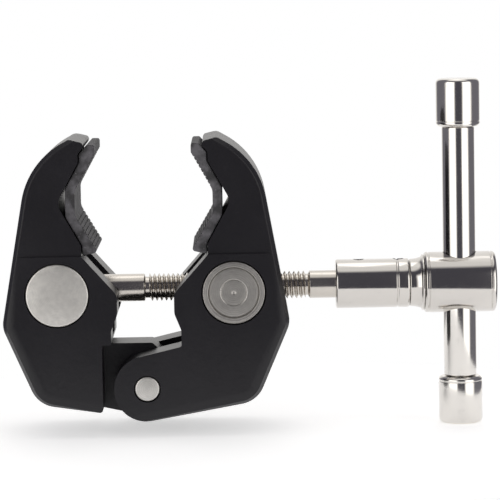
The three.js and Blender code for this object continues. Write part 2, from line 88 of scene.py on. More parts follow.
# %% [markdown]
# ## Small tools for making meshes
#
# Most of the metal here comes off a lathe, so most pieces are a profile spun round an axis. A
# profile is a chain of (radius, position) points. A third number rounds that corner with a vertex
# bevel before the spin, which is how a maker breaks a sharp edge.

# %% Making and placing a piece
X, Y, Z = Vector((1, 0, 0)), Vector((0, 1, 0)), Vector((0, 0, 1))
SMOOTH = math.radians(32)
WELD = 1e-4  # points closer than this are one
RUNNING_GAP = 0.15  # round a piece that turns or slides in a bore
FACE_GAP = 0.1  # between faces that rest on each other


def placed(bm, name, direction=Z, origin=(0, 0, 0)):
    """The bmesh, drawn along Z in millimetres, turned to direction and set down in metres."""
    turn = Z.rotation_difference(direction).to_matrix().to_4x4()
    matrix = Matrix.Scale(MM, 4) @ Matrix.Translation(origin) @ turn
    bmesh.ops.transform(bm, matrix=matrix, verts=bm.verts)
    bmesh.ops.recalc_face_normals(bm, faces=bm.faces)
    mesh = bpy.data.meshes.new(name)
    bm.to_mesh(mesh)
    bm.free()
    piece = bpy.data.objects.new(name, mesh)
    bpy.context.scene.collection.objects.link(piece)
    return piece


def shaded(piece):
    """Smooth shading that keeps the real corners crisp."""
    piece.data.shade_smooth()
    piece.data.set_sharp_from_angle(angle=SMOOTH)


def chain(bm, profile, segments=4):
    """Profile points joined by edges in the XZ plane, with rounded corners where a third number asks."""
    verts = [bm.verts.new((point[0], 0, point[1])) for point in profile]
    for first, second in zip(verts, verts[1:]):
        bm.edges.new((first, second))
    for vert, point in zip(verts, profile):
        if len(point) > 2:
            bmesh.ops.bevel(bm, geom=[vert], offset=point[2], segments=segments, profile=0.5,
                            affect="VERTICES", material=-1)


def spun(bm, angle, steps, rise=0.0, closed=False):
    """Sweep everything in the bmesh round Z, moving it up by rise at each step."""
    bmesh.ops.spin(bm, geom=bm.verts[:] + bm.edges[:], axis=Z, cent=(0, 0, 0), dvec=(0, 0, rise),
                   angle=angle, steps=steps, use_merge=closed)


def turned(name, profile, direction, origin, steps=96):
    """A lathe piece: the profile spun right round, with its poles and seam closed."""
    bm = bmesh.new()
    chain(bm, profile)
    spun(bm, 2 * math.pi, steps, closed=True)
    bmesh.ops.remove_doubles(bm, verts=bm.verts, dist=WELD)
    return placed(bm, name, direction, origin)


# %% [markdown]
# Cross holes and flats are cut the way a drill or a mill would cut them: with a Boolean modifier
# that is applied at once, and a small Bevel modifier for the edges that the cut leaves.

# %% Cutting and softening
def apply_modifiers(piece):
    graph = bpy.context.evaluated_depsgraph_get()
    mesh = bpy.data.meshes.new_from_object(piece.evaluated_get(graph))
    old = piece.data
    piece.modifiers.clear()
    piece.data = mesh
    bpy.data.meshes.remove(old)


def combine(piece, tools, operation="DIFFERENCE"):
    for tool in tools:
        modifier = piece.modifiers.new("cut", "BOOLEAN")
        modifier.operation = operation
        modifier.solver = "EXACT"
        modifier.object = tool
        apply_modifiers(piece)
        bpy.data.objects.remove(tool)


EDGE_ANGLE = math.radians(30)  # a sharper corner than this is an edge


def soften(piece, width, segments=2):
    modifier = piece.modifiers.new("soft edges", "BEVEL")
    modifier.width = width * MM
    modifier.segments = segments
    modifier.limit_method = "ANGLE"
    modifier.angle_limit = EDGE_ANGLE
    modifier.miter_outer = "MITER_ARC"
    modifier.use_clamp_overlap = True
    apply_modifiers(piece)


def even_faces(piece):
    """Keep the big flat faces flat to the light, right up to their rounded edges."""
    shaded(piece)
    modifier = piece.modifiers.new("even faces", "WEIGHTED_NORMAL")
    modifier.keep_sharp = True
    apply_modifiers(piece)


def drill(diameter, length, direction, origin, steps=48):
    """A cutting cylinder, centred on origin."""
    half = length / 2
    radius = diameter / 2
    return turned("drill", [(0, -half), (radius, -half), (radius, half), (0, half)], direction, origin, steps)


def fitted(piece, body, slot, *nodes):
    """Put a finished piece on its body and let it stand for its CAD nodes."""
    if not piece.data.has_custom_normals:
        shaded(piece)
    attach(piece, body)
    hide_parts(*nodes)
    low, high = (Vector(corner) / MM for corner in (piece.bound_box[0], piece.bound_box[6]))
    size = " x ".join(f"{side:.1f}" for side in high - low)
    print(f"{piece.name}: {len(piece.data.polygons)} faces, {size} mm")


# %% [markdown]
# ## Small tools for finishes
#
# A finish is a Principled shader whose colour, roughness and bump come from sums of noise and
# distance. `Amount` wraps a socket so that those sums can be written as ordinary arithmetic, and
# `Nodes.node` makes any other node.

# %% Shader sums
class Amount:
    """A number on a material's surface that takes part in sums."""

    def __init__(self, finish, socket):
        self.finish = finish
        self.socket = socket

    def sum(self, operation, *values):
        node = self.finish.node("ShaderNodeMath", {"operation": operation}, dict(enumerate(values)))
        return Amount(self.finish, node.outputs[0])

    def __add__(self, other):
        return self.sum("ADD", self, other)

    def __radd__(self, other):
        return self.sum("ADD", other, self)

    def __sub__(self, other):
        return self.sum("SUBTRACT", self, other)

    def __rsub__(self, other):
        return self.sum("SUBTRACT", other, self)

    def __mul__(self, other):
        return self.sum("MULTIPLY", self, other)

    def __rmul__(self, other):
        return self.sum("MULTIPLY", other, self)

    def __truediv__(self, other):
        return self.sum("DIVIDE", self, other)

    def __pow__(self, other):
        return self.sum("POWER", self, other)

    def function(self, operation):
        """Such as the sine or the absolute value."""
        return self.sum(operation, self)


class Nodes:
    """A node tree, with one method that makes any node and a few for common sums."""

    def __init__(self, tree):
        self.tree = tree
        tree.nodes.clear()

    def node(self, kind, settings=None, sockets=None):
        made = self.tree.nodes.new(kind)
        for key, value in (settings or {}).items():
            setattr(made, key, value)
        for key, value in (sockets or {}).items():
            self.feed(made.inputs[key], value)
        return made

    def feed(self, socket, value):
        if isinstance(value, Amount):
            value = value.socket
        if isinstance(value, bpy.types.NodeSocket):
            self.tree.links.new(value, socket)
        else:
            socket.default_value = value

    def axis(self, vector, name):
        split = self.node("ShaderNodeSeparateXYZ", {}, {0: vector})
        return Amount(self, split.outputs[name])

    def mix(self, amount, first, second):
        """A colour between two others."""
        node = self.node("ShaderNodeMix", {"data_type": "RGBA"}, {0: amount, 6: first, 7: second})
        return node.outputs[2]

    def between(self, value, low, high):
        """The value brought to 0 at low and 1 at high, and held there."""
        sockets = {"Value": value, "From Min": low, "From Max": high}
        return Amount(self, self.node("ShaderNodeMapRange", {}, sockets).outputs[0])


class Finish(Nodes):
    """One material with a Principled shader."""

    def __init__(self, name, color, roughness, metallic=0.0, **sockets):
        self.material = bpy.data.materials.new(name)
        self.material.use_nodes = True
        super().__init__(self.material.node_tree)
        values = {"Base Color": (*color, 1), "Roughness": roughness, "Metallic": metallic}
        values.update({key.replace("_", " "): value for key, value in sockets.items()})
        self.shader = self.node("ShaderNodeBsdfPrincipled", {}, values)
        self.node("ShaderNodeOutputMaterial", {}, {"Surface": self.shader.outputs[0]})
        self.place = self.node("ShaderNodeTexCoord").outputs["Object"]

    def shade(self, **sockets):
        for key, value in sockets.items():
            self.feed(self.shader.inputs[key.replace("_", " ")], value)

    def noise(self, size, detail=2.0, place=None, roughness=0.5):
        """Noise from 0 to 1 with features of about size millimetres."""
        sockets = {"Vector": place or self.place, "Scale": 1 / (size * MM), "Detail": detail,
                   "Roughness": roughness}
        return Amount(self, self.node("ShaderNodeTexNoise", {}, sockets).outputs["Fac"])

    def stretched(self, scale, centre=(0, 0, 0)):
        """Object coordinates about a centre in millimetres, scaled along each axis."""
        moved = self.node("ShaderNodeVectorMath", {"operation": "SUBTRACT"},
                          {0: self.place, 1: Vector(centre) * MM}).outputs[0]
        return self.node("ShaderNodeMapping", {}, {"Vector": moved, "Scale": scale}).outputs[0]

    def bump(self, height, distance, strength=1.0):
        """A relief of distance millimetres where height goes from 0 to 1."""
        sockets = {"Height": height, "Distance": distance * MM, "Strength": strength}
        self.feed(self.shader.inputs["Normal"], self.node("ShaderNodeBump", {}, sockets).outputs[0])
        return self

    def on(self, piece):
        piece.data.materials.clear()
        piece.data.materials.append(self.material)
        return piece


def tint(color, factor):
    return (*(min(1.0, channel * factor) for channel in color), 1)


# %% [markdown]
# ## Finishes
#
# **Jaw paint** is a satin black baked on a die casting. It has a fine orange peel, a slow change of
# tone, and faint lighter scuffs where things have brushed past.

# %% Jaw paint
def jaw_paint():
    color = (0.0085, 0.0078, 0.0102)
    paint = Finish("jaw paint", color, 0.36, Specular_IOR_Level=0.36)
    cloud = paint.noise(9, 3)
    grain = paint.noise(0.55, 2)
    peel = paint.noise(1.1, 1)
    scuff = paint.between(paint.noise(3.2, 6, roughness=0.7), 0.63, 0.75) * grain
    tone = paint.mix(cloud, tint(color, 0.82), tint(color, 1.22))
    paint.shade(Base_Color=paint.mix(scuff * 0.6, tone, tint(color, 2.6)))
    paint.shade(Roughness=0.28 + cloud * 0.08 + grain * 0.06 + scuff * 0.12)
    return paint.bump(peel * 0.75 + grain * 0.25, 0.035, 0.9)


jaw_black = jaw_paint()
print("paint nodes:", len(jaw_black.tree.nodes))


# %% [markdown]
# **Grip rubber** is a matt moulded rubber. It is a little greyer than the paint, and dust sits in
# its fine grain as pale specks.

# %% Grip rubber
def grip_rubber():
    color = (0.050, 0.048, 0.053)
    rubber = Finish("grip rubber", color, 0.62, Specular_IOR_Level=0.45)
    grain = rubber.noise(0.28, 3)
    patch = rubber.noise(2.4, 4)
    speck = rubber.between(rubber.noise(0.42, 2), 0.66, 0.74)
    dust = rubber.between(patch, 0.4, 0.64)
    tone = rubber.mix(dust, tint(color, 0.45), tint(color, 1.9))
    rubber.shade(Base_Color=rubber.mix(speck * 0.5, tone, tint(color, 4)))
    rubber.shade(Roughness=0.52 + patch * 0.18 + grain * 0.08)
    return rubber.bump(grain * 0.6 + patch * 0.4, 0.06, 0.8)


grip_black = grip_rubber()
print("rubber nodes:", len(grip_black.tree.nodes))


# %% [markdown]
# **Nickel plate** is a bright, slightly warm plating over turned steel. Its lathe lines run round the
# piece, so the noise is squeezed along the axis and stretched across it. **Turned steel** is the
# same plating over the coarser rings of a faced end.

# %% Nickel and steel
def nickel_plate(name, along, centre, color=(0.74, 0.715, 0.68), roughness=0.085):
    """Plating on a piece turned about the axis along, which is 'X', 'Y' or 'Z'."""
    nickel = Finish(name, color, roughness, 1.0)
    squeeze = [22.0 if letter == along else 1.0 for letter in "XYZ"]
    lines = nickel.noise(5.5, 2, nickel.stretched(squeeze, centre))
    cloud = nickel.noise(6, 3)
    stain = nickel.between(nickel.noise(2.3, 5, roughness=0.65), 0.58, 0.78)
    tone = nickel.mix(cloud, tint(color, 0.96), tint(color, 1.03))
    nickel.shade(Base_Color=nickel.mix(stain * 0.35, tone, tint(color, 0.78)))
    nickel.shade(Roughness=roughness + lines * 0.045 + cloud * 0.03 + stain * 0.08)
    return nickel.bump(lines, 0.0035, 0.55)


def faced_steel(name, centre, pitch, color, roughness, relief=0.006):
    """A face turned about Y at centre, with rings of the tool's feed."""
    steel = Finish(name, color, roughness, 1.0)
    place = steel.stretched((1, 1, 1), centre)
    across = steel.axis(place, "X")
    upright = steel.axis(place, "Z")
    radius = (across * across + upright * upright) ** 0.5
    wander = steel.noise(2.0, 2, place) * 0.25
    rings = (radius / (pitch * MM) * 2 * math.pi + wander).function("SINE")
    grain = steel.noise(0.35, 3)
    cloud = steel.noise(4, 3)
    mottle = steel.between(steel.noise(0.9, 4, place, 0.6), 0.35, 0.7)
    streak = steel.between(rings, -1, 1)
    tone = steel.mix(cloud, tint(color, 0.88), tint(color, 1.08))
    steel.shade(Base_Color=steel.mix(mottle * 0.4 + streak * 0.25, tone, tint(color, 0.66)))
    steel.shade(Roughness=roughness + rings * 0.05 + cloud * 0.08 + grain * 0.05)
    return steel.bump(rings * 0.5 + grain * 0.3, relief, 0.8)


# Painted shade: the sleeve, collar and hub get a darker copy of the bar's nickel colour, which dims their
# reflections of the bright table.
darkened_nickel_x = nickel_plate("nickel along the screw, painted darker", "X", right_axis, (0.64, 0.615, 0.585))
nickel_z = nickel_plate("nickel along the bar", "Z", box("tee_bar")[0])
left_face = faced_steel("left barrel steel", left_axis, 0.32, (0.78, 0.76, 0.72), 0.36)
right_face = faced_steel("right barrel steel", right_axis, 0.42, (0.42, 0.405, 0.385), 0.34, 0.014)
pin_face = faced_steel("hinge pin steel", hinge, 0.4, (0.68, 0.665, 0.635), 0.38)
# The screw's nickel is darker and rougher than the bar's.
thread_steel = nickel_plate("darker nickel on the screw", "X", right_axis, (0.60, 0.565, 0.52), 0.17)
spring_steel = nickel_plate("spring steel", "X", right_axis, (0.42, 0.42, 0.44), 0.28)

# %% [markdown]
# ## The jaws
#
# The two castings carry over from the CAD model, because their outline, bores and slot are what
# the clamp's fit depends on. A casting never has a knife edge, though. So each jaw is a copy whose
# flat facets are first joined into whole faces and whose edges are then rounded with a bevel.

# %% Cast jaws
SIDES = ("left", "right")
JAW_EDGE = 0.38
LOOSE = 1e-3  # corners of the loose triangles that meet
SLIVER = 0.045  # edges shorter than this are closed up
NEARLY_FLAT = math.radians(1.2)


def cast_copy(node, name, width):
    """A CAD node's shape as one clean skin with rounded edges."""
    bm = bmesh.new()
    bm.from_mesh(frame["nodes"][node].data)
    bmesh.ops.remove_doubles(bm, verts=bm.verts, dist=LOOSE * MM)
    bmesh.ops.dissolve_limit(bm, angle_limit=NEARLY_FLAT, verts=bm.verts, edges=bm.edges)
    bmesh.ops.remove_doubles(bm, verts=bm.verts, dist=SLIVER * MM)
    bmesh.ops.dissolve_degenerate(bm, dist=SLIVER * MM, edges=bm.edges)
    bmesh.ops.scale(bm, vec=(1 / MM,) * 3, verts=bm.verts)
    piece = placed(bm, name)
    soften(piece, width, segments=3)
    return piece


for side in SIDES:
    jaw = cast_copy(f"{side}_jaw", f"{side}_cast_jaw", JAW_EDGE)
    even_faces(jaw)
    fitted(jaw_black.on(jaw), f"{side}_jaw", "jaw_paint", f"{side}_jaw")

# %% [markdown]
# ## The grip pads
#
# The moulded pads carry fine grooves across the flanks of their V, which keep a tube from creeping.
# The mounts on the frame say where each flank is and which way it faces. So the grooves are one set
# of thin cutting bars laid out along each flank from its mount, and a single Boolean sinks them.

# %% Cutting bars for the grooves
GROOVE_PITCH = 0.95
GROOVE_WIDTH = 0.34
GROOVE_DEPTH = 0.17
GROOVES_A_FLANK = 8


def grooves(middle, facing, half_length):
    """Cutting bars along Y, spaced along the flank through middle that faces the given way."""
    along = facing.cross(Y)
    turn = Matrix((along, Y, facing)).transposed().to_4x4()
    bm = bmesh.new()
    for index in range(GROOVES_A_FLANK):
        away = (index - (GROOVES_A_FLANK - 1) / 2) * GROOVE_PITCH
        bar = bmesh.ops.create_cube(bm, size=1.0)["verts"]
        bmesh.ops.scale(bm, vec=(GROOVE_WIDTH, 2 * half_length, 2 * GROOVE_DEPTH), verts=bar)
        bmesh.ops.transform(bm, matrix=turn, verts=bar)
        bmesh.ops.translate(bm, vec=middle + along * away, verts=bar)
    return placed(bm, "grooves")


print("grooves", GROOVE_WIDTH, "mm wide and", GROOVE_DEPTH, "mm deep, every", GROOVE_PITCH, "mm")

# %% Ribbed grips
PAD_EDGE = 0.3
mounts = {mount["name"]: mount for mount in frame["record"]["mounts"]}
for side in SIDES:
    node = f"{side}_grip_pad"
    pad = cast_copy(node, f"{side}_ribbed_grip", PAD_EDGE)
    for level in ("upper", "lower"):
        mount = mounts[f"{side}_grip_{level}"]
        combine(pad, [grooves(Vector(mount["pos_m"]) / MM, Vector(mount["axis"]).normalized(), jaw_half)])
    print(side, "pad carries", 2 * GROOVES_A_FLANK, "grooves")
    even_faces(pad)
    fitted(grip_black.on(pad), f"{side}_jaw", "grip_rubber", node)

# %% [markdown]
# ## Hinge pin and cross barrels
#
# These three are lathe pieces that lie along Y, so their ends show in the cheeks. The left barrel's
# end is plain. The right barrel's has a raised bright rim, rings from facing and a centre mark.

# %% Hinge pin
PIN_EDGE = 0.45


def both_ends(end):
    """The whole profile of a piece whose far end mirrors its near one."""
    return end + [(radius, -position, *rest) for radius, position, *rest in reversed(end)]


pin_low, pin_high = box("hinge_pin")
pin_radius = (pin_high.x - pin_low.x) / 2
pin_half = pin_high.y
pin_profile = both_ends([(0, -pin_half), (pin_radius, -pin_half, PIN_EDGE)])
pin = turned("turned_hinge_pin", pin_profile, Y, (hinge.x, 0, hinge.z))
fitted(pin_face.on(pin), "right_jaw", "turned_steel", "hinge_pin")

# %% A milling cutter
def mill(low, high):
    """A cutting block between two corners in millimetres."""
    bm = bmesh.new()
    bmesh.ops.create_cube(bm, size=1.0)
    low, high = Vector(low), Vector(high)
    bmesh.ops.scale(bm, vec=high - low, verts=bm.verts)
    bmesh.ops.translate(bm, vec=(low + high) / 2, verts=bm.verts)
    return placed(bm, "mill")


# %% Left barrel
FINE_STEPS = 128  # round the widest lathe pieces
BORE_LENGTH = 20  # of a cutter that passes right through
barrel_low, barrel_high = box("left_trunnion")
barrel_radius = (barrel_high.z - barrel_low.z) / 2
barrel_half = barrel_high.y
journal_bore = 4.9
spot_reach = 5.4
spot_half = 4.8

plain_profile = both_ends([(0, -barrel_half), (barrel_radius, -barrel_half, 0.4)])
left_barrel = turned("left_cross_barrel", plain_profile, Y, (left_axis.x, 0, left_axis.z), FINE_STEPS)
flats = []
for side in (-1, 1):
    ends = sorted((left_axis.x + side * spot_reach, left_axis.x + side * (barrel_radius + 1)))
    flats.append(mill((ends[0], -spot_half, left_axis.z - barrel_radius),
                      (ends[1], spot_half, left_axis.z + barrel_radius)))
combine(left_barrel, flats + [drill(journal_bore, BORE_LENGTH, X, left_axis)])
fitted(left_face.on(left_barrel), "left_trunnion", "turned_steel", "left_trunnion")

# %% Right barrel
thread_bore = 6.3
dish_floor = -barrel_half + 0.35
mark_radius, mark_depth = 0.55, 0.45
line_radius, line_half, line_depth = 2.7, 0.15, 0.12
rim_inner = barrel_radius - 1.25
rim_foot, rim_groove = 0.35, 0.18
ringed_end = [
    (0, dish_floor + mark_depth),
    (mark_radius, dish_floor, 0.08),
    (line_radius - line_half, dish_floor, 0.05),
    (line_radius, dish_floor + line_depth),
    (line_radius + line_half, dish_floor, 0.05),
    (rim_inner - rim_foot, dish_floor, 0.08),
    (rim_inner - 0.2, dish_floor + rim_groove, 0.05),
    (rim_inner, -barrel_half, 0.12),
    (barrel_radius, -barrel_half, 0.42),
]
right_place = (right_axis.x, 0, right_axis.z)
right_barrel = turned("right_cross_barrel", both_ends(ringed_end), Y, right_place, FINE_STEPS)
combine(right_barrel, [drill(thread_bore, BORE_LENGTH, X, right_axis)])
fitted(right_face.on(right_barrel), "right_trunnion", "turned_steel", "right_trunnion")

# %% [markdown]
# ## The screw
#
# The thread is a real helix. One pitch of its section is swept by a spin that also moves along the
# axis, so each turn ends exactly where the next one starts and the doubles can be merged. Two
# cutting planes square the ends off, and the core is then joined in with a union.

# %% Helical sweep
def helix(profile, pitch, turns, steps):
    """A bmesh of the profile swept along a right-handed helix about Z, in steps for each turn."""
    bm = bmesh.new()
    chain(bm, profile)
    spun(bm, 2 * math.pi * turns, turns * steps, rise=pitch / steps)
    bmesh.ops.remove_doubles(bm, verts=bm.verts, dist=WELD)
    return bm


# %% Sizes along the screw
def along_screw(node):
    """A node's radius, start and end along the screw, from the left barrel's axis."""
    low, high = box(node)
    return high.y, low.x - left_axis.x, high.x - left_axis.x


screw_radius, screw_start, screw_end = along_screw("clamp_screw")
thread_start, thread_end = 19.1, 52.6
pitch = 1.0
root = screw_radius - 0.61
print("thread from", thread_start, "to", thread_end, "mm, pitch", pitch, "mm, root radius", round(root, 2))


# %% Thread
THREAD_STEPS = 40
FLANK_FOOT, CREST_START, CREST_END = 0.25, 0.56, 0.69  # parts of one pitch


def screw_thread():
    """The thread, made with at least a turn to spare at each end, which the cutting planes take off."""
    section = [(root, 0), (root, FLANK_FOOT * pitch), (screw_radius, CREST_START * pitch),
               (screw_radius, CREST_END * pitch), (root, pitch)]
    turns = math.ceil((thread_end - thread_start) / pitch) + 2
    bm = helix(section, pitch, turns, THREAD_STEPS)
    bmesh.ops.translate(bm, vec=(0, 0, thread_start - pitch), verts=bm.verts)
    for position, side in ((thread_start, -1), (thread_end, 1)):
        geometry = bm.verts[:] + bm.edges[:] + bm.faces[:]
        cut = bmesh.ops.bisect_plane(bm, geom=geometry, plane_co=(0, 0, position), plane_no=(0, 0, side),
                                     clear_outer=True)
        edges = [item for item in cut["geom_cut"] if isinstance(item, bmesh.types.BMEdge)]
        bmesh.ops.contextual_create(bm, geom=edges)
    return placed(bm, "thread", X, left_axis)


# %% Clamp screw
journal_radius = 2.3
clip_groove = journal_radius - 0.5
groove_start, groove_end = -7.0, -6.2
shoulder = 5.5
core = root - 0.05  # just under the thread's root
screw_profile = [
    (0, screw_start),
    (journal_radius, screw_start, 0.25),
    (journal_radius, groove_start),
    (clip_groove, groove_start),
    (clip_groove, groove_end),
    (journal_radius, groove_end),
    (journal_radius, shoulder),
    (screw_radius, shoulder, 0.2),
    (screw_radius, thread_start - 1, 0.15),
    (core, thread_start - 0.8),
    (core, thread_end + 0.5),
    (screw_radius, thread_end + 0.9, 0.1),
    (screw_radius, screw_end, 0.4),
    (0, screw_end),
]
screw = turned("threaded_clamp_screw", screw_profile, X, left_axis)
combine(screw, [screw_thread()], "UNION")
fitted(thread_steel.on(screw), "screw", "nickel_plate", "clamp_screw")

# %% [markdown]
# ## The screw's stop: washer and clip
#
# Behind the left barrel a washer and a spring clip keep the screw from pulling out. They sit deep
# in the slot and show only from behind.

# %% Washer
RING_EDGE = 0.08


def ring_like(node, name, inner):
    """A square ring with broken edges, as wide and as thick as a CAD node."""
    outer, start, end = along_screw(node)
    middle = (inner + outer) / 2
    section = [(middle, start), (outer, start, RING_EDGE), (outer, end, RING_EDGE),
               (inner, end, RING_EDGE), (inner, start, RING_EDGE), (middle, start)]
    return turned(name, section, X, left_axis, 72)


washer = ring_like("screw_washer", "stop_washer", journal_radius + RUNNING_GAP)
fitted(spring_steel.on(washer), "screw", "spring_steel", "screw_washer")

# %% Clip
clip = ring_like("screw_retaining_clip", "stop_clip", clip_groove + FACE_GAP)
clip_low, clip_high = box("screw_retaining_clip")
mouth_half = 1.6
clip_mouth = mill((clip_low.x - 1, -clip_high.y - 1, left_axis.z - mouth_half),
                  (clip_high.x + 1, 0, left_axis.z + mouth_half))
combine(clip, [clip_mouth])
soften(clip, 0.06)
fitted(spring_steel.on(clip), "screw", "spring_steel", "screw_retaining_clip")

# %% [markdown]
# ## The handle: sleeve, flared collar and hub
#
# A polished sleeve slips over the shank and a pin holds it. A thin flared collar fills the step up
# to the hub, and the hub's spigot reaches back inside both.

# %% Sizes of the handle
sleeve_radius, sleeve_start, sleeve_end = along_screw("handle_sleeve")
collar_radius, collar_start, collar_end = along_screw("handle_collar")
hub_radius, spigot_start, hub_end = along_screw("handle_hub")
spigot_radius = 3.75
spigot_bore = spigot_radius + RUNNING_GAP
print("sleeve", round(sleeve_end - sleeve_start, 2), "mm and hub", round(hub_end - collar_end, 2), "mm long")

# %% Drills for the roll pins
pin_bore = 2.3
roll_pins = ("sleeve_roll_pin", "hub_roll_pin")
pin_positions = {node: sum(corner.x for corner in box(node)) / 2 for node in roll_pins}


def pin_drill(node):
    return drill(pin_bore, 14, Z, (pin_positions[node], 0, left_axis.z), 32)


print("roll pins at x", [round(position, 2) for position in pin_positions.values()])

# %% Sleeve
shank_bore = screw_radius + RUNNING_GAP
step = spigot_start - 0.3
groove = sleeve_end - 2.6
groove_floor = sleeve_radius - 0.14
sleeve_profile = [
    (shank_bore, sleeve_start + 0.5),
    (shank_bore, sleeve_start, 0.15),
    (sleeve_radius, sleeve_start, 0.4),
    (sleeve_radius, groove - 0.25, 0.06),
    (groove_floor, groove - 0.12, 0.05),
    (groove_floor, groove + 0.12, 0.05),
    (sleeve_radius, groove + 0.25, 0.06),
    (sleeve_radius, sleeve_end, 0.45),
    (spigot_bore, sleeve_end),
    (spigot_bore, step),
    (shank_bore, step),
    (shank_bore, sleeve_start + 0.5),
]
sleeve = turned("polished_sleeve", sleeve_profile, X, left_axis)
combine(sleeve, [pin_drill(node) for node in pin_positions])
soften(sleeve, 0.08)
fitted(darkened_nickel_x.on(sleeve), "screw", "nickel_plate", "handle_sleeve")

# %% Flared collar
waist = sleeve_radius - 0.15
collar_profile = [
    (spigot_bore, collar_start),
    (waist, collar_start, 0.15),
    (waist, collar_start + 1.25, 0.9),
    (collar_radius - 0.45, collar_end - 0.55, 0.2),
    (collar_radius, collar_end - 0.4, 0.12),
    (collar_radius, collar_end, 0.1),
    (spigot_bore, collar_end),
    (spigot_bore, collar_start),
]
collar = turned("flared_collar", collar_profile, X, left_axis)
fitted(darkened_nickel_x.on(collar), "screw", "nickel_plate", "handle_collar")

# %% Hub profile
hub_start = collar_end + FACE_GAP
hub_bevel = 0.35


def hub_line(middle):
    """A fine line turned round the hub."""
    floor = hub_radius - 0.1
    return [(hub_radius, middle - 0.15, 0.05), (floor, middle - 0.08), (floor, middle + 0.08),
            (hub_radius, middle + 0.15, 0.05)]


hub_profile = [
    (0, spigot_start),
    (spigot_radius, spigot_start, 0.25),
    (spigot_radius, hub_start),
    (hub_radius - hub_bevel, hub_start, 0.1),
    (hub_radius, hub_start + hub_bevel, 0.12),
    *hub_line(hub_start + 0.9),
    *hub_line(hub_end - 1.1),
    (hub_radius, hub_end, 0.75),
    (0, hub_end),
]
print("hub profile:", len(hub_profile), "points")

# %% Hub
bar_low, bar_high = box("tee_bar")
bar_x = (bar_low.x + bar_high.x) / 2
bar_radius = (bar_high.x - bar_low.x) / 2
ball_low, ball_high = box("bar_detent_ball")
ball_radius = (ball_high.z - ball_low.z) / 2
hub = turned("tee_bar_hub", hub_profile, X, left_axis, FINE_STEPS)
bar_drill = drill(2 * (bar_radius + RUNNING_GAP), BORE_LENGTH, Z, (bar_x, 0, left_axis.z), 96)
ball_reach = bar_x - (left_axis.x + spigot_start) + 1
ball_place = (bar_x - ball_reach / 2, 0, left_axis.z)
ball_drill = drill(2 * (ball_radius + RUNNING_GAP), ball_reach, X, ball_place)
combine(hub, [bar_drill, ball_drill, pin_drill("hub_roll_pin")])
soften(hub, 0.16)
fitted(darkened_nickel_x.on(hub), "screw", "nickel_plate", "handle_hub")

# %% [markdown]
# ## Roll pins, detent ball and spring
#
# A roll pin is a strip of spring steel rolled almost closed, so it is a section spun nearly all the
# way round and capped. The ball and its coil spring live inside the spigot and press on the T-bar.

# %% Roll pins
STRIP = 0.5  # thickness of the rolled strip
SLIT = 0.3
for node, position in pin_positions.items():
    low, high = box(node)
    half = (high.z - low.z) / 2
    outer, inner = high.y, high.y - STRIP
    section = [(inner, -half), (outer, -half, 0.12), (outer, half, 0.12), (inner, half), (inner, -half)]
    bm = bmesh.new()
    chain(bm, section, 2)
    gap = SLIT / outer
    bmesh.ops.rotate(bm, cent=(0, 0, 0), matrix=Matrix.Rotation(gap / 2, 3, "Z"), verts=bm.verts)
    bmesh.ops.remove_doubles(bm, verts=bm.verts, dist=WELD)
    spun(bm, 2 * math.pi - gap, 40)
    bmesh.ops.remove_doubles(bm, verts=bm.verts, dist=WELD)
    bmesh.ops.holes_fill(bm, edges=bm.edges, sides=0)
    roll_pin = placed(bm, f"split_{node}", Z, (position, 0, left_axis.z))
    fitted(spring_steel.on(roll_pin), "screw", "spring_steel", node)

# %% Detent ball
bm = bmesh.new()
bmesh.ops.create_uvsphere(bm, u_segments=48, v_segments=24, radius=ball_radius)
ball = placed(bm, "detent_ball", X, (ball_low + ball_high) / 2)
fitted(spring_steel.on(ball), "screw", "spring_steel", "bar_detent_ball")

# %% Detent spring
COIL_TURNS = 4
COIL_STEPS = 36
spring_low, spring_high = box("bar_detent_spring")
wire = 0.25  # radius
coil_radius = spring_high.z - left_axis.z - wire
coil_length = spring_high.x - spring_low.x - 2 * wire
bm = bmesh.new()
bmesh.ops.create_circle(bm, cap_ends=False, segments=12, radius=wire)
bmesh.ops.rotate(bm, cent=(0, 0, 0), matrix=Matrix.Rotation(math.pi / 2, 3, "X"), verts=bm.verts)
bmesh.ops.translate(bm, vec=(coil_radius, 0, 0), verts=bm.verts)
spun(bm, 2 * math.pi * COIL_TURNS, COIL_TURNS * COIL_STEPS, rise=coil_length / COIL_TURNS / COIL_STEPS)
bmesh.ops.holes_fill(bm, edges=bm.edges, sides=0)
spring = placed(bm, "detent_spring", X, (spring_low.x + wire, 0, left_axis.z))
fitted(spring_steel.on(spring), "screw", "spring_steel", "bar_detent_spring")

# %% [markdown]
# ## T-bar and caps
#
# The bar is a plain polished rod with a stud at each end. The caps keep it from sliding out of the
# hub. Each has a broken edge at its open end and a rounder one at its outer end.

# %% T-bar
cap_low, cap_high = box("upper_bar_cap")
lower_cap_top = box("lower_bar_cap")[1].z
stud_radius = 2.0
bar_bottom, bar_top = lower_cap_top + FACE_GAP, cap_low.z - FACE_GAP
bar_profile = [
    (0, bar_low.z),
    (stud_radius, bar_low.z, 0.3),
    (stud_radius, bar_bottom),
    (bar_radius, bar_bottom, 0.3),
    (bar_radius, bar_top, 0.3),
    (stud_radius, bar_top),
    (stud_radius, bar_high.z, 0.3),
    (0, bar_high.z),
]
bar = turned("sliding_tee_bar", bar_profile, Z, (bar_x, 0, 0))
fitted(nickel_z.on(bar), "tee_bar", "nickel_plate", "tee_bar")

